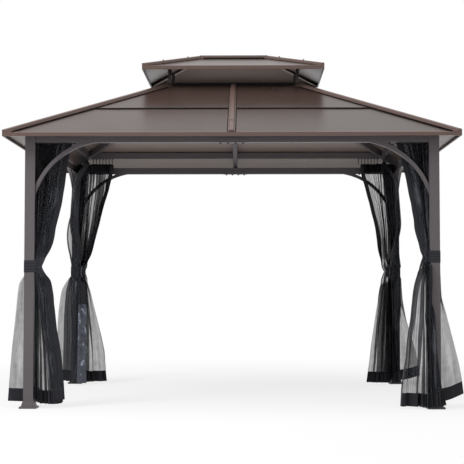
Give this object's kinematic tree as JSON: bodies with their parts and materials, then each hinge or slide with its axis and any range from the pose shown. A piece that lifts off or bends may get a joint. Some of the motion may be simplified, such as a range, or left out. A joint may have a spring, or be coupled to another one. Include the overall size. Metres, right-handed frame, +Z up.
{
  "type": "garden gazebo",
  "caption": "Open metal garden gazebo: square posts with curved braces carry a two tier hipped metal roof, with insect nets tied back to the posts.",
  "frame": {"origin": "on the ground at the middle of the plan", "axes": "+X along the width to the right seen from the front, -Y is the front, +Z up"},
  "size_m": [3.61, 3, 3.0733],
  "materials": {
    "brown_frame_metal": "dark brown powder coat on steel tube",
    "brown_roof_metal": "brown powder coat on galvanised steel sheet",
    "brown_trim_metal": "brown powder coat on folded steel",
    "insect_net": "black polyester insect net with woven hems",
    "strap_webbing": "black woven strap",
    "black_plastic": "black moulded hooks"
  },
  "bodies": {
    "root": {"post_front_left": "brown_frame_metal", "post_front_right": "brown_frame_metal", "post_back_left": "brown_frame_metal", "post_back_right": "brown_frame_metal", "foot_covers": "brown_frame_metal", "front_beam": "brown_frame_metal", "back_beam": "brown_frame_metal", "left_beam": "brown_frame_metal", "right_beam": "brown_frame_metal", "beam_splices": "brown_frame_metal", "front_left_braces": "brown_frame_metal", "front_right_braces": "brown_frame_metal", "back_left_braces": "brown_frame_metal", "back_right_braces": "brown_frame_metal", "front_net_rail": "brown_frame_metal", "back_net_rail": "brown_frame_metal", "left_net_rail": "brown_frame_metal", "right_net_rail": "brown_frame_metal", "net_hooks": "black_plastic", "hip_rafters": "brown_frame_metal", "centre_rafters": "brown_frame_metal", "middle_purlins": "brown_frame_metal", "crown_bars": "brown_frame_metal", "front_sheets": "brown_roof_metal", "back_sheets": "brown_roof_metal", "left_sheets": "brown_roof_metal", "right_sheets": "brown_roof_metal", "hip_caps": "brown_trim_metal", "slope_battens": "brown_trim_metal", "eave_trims": "brown_trim_metal", "short_posts": "brown_frame_metal", "upper_hip_rafters": "brown_frame_metal", "ridge_beam": "brown_frame_metal", "upper_front_sheet": "brown_roof_metal", "upper_back_sheet": "brown_roof_metal", "upper_left_sheet": "brown_roof_metal", "upper_right_sheet": "brown_roof_metal", "upper_hip_caps": "brown_trim_metal", "ridge_cap": "brown_trim_metal", "upper_eave_trims": "brown_trim_metal", "front_net_left": "insect_net", "front_net_right": "insect_net", "back_net_left": "insect_net", "back_net_right": "insect_net", "left_net_front": "insect_net", "left_net_back": "insect_net", "right_net_front": "insect_net", "right_net_back": "insect_net", "net_ties": "strap_webbing"}
  },
  "joints": []
}
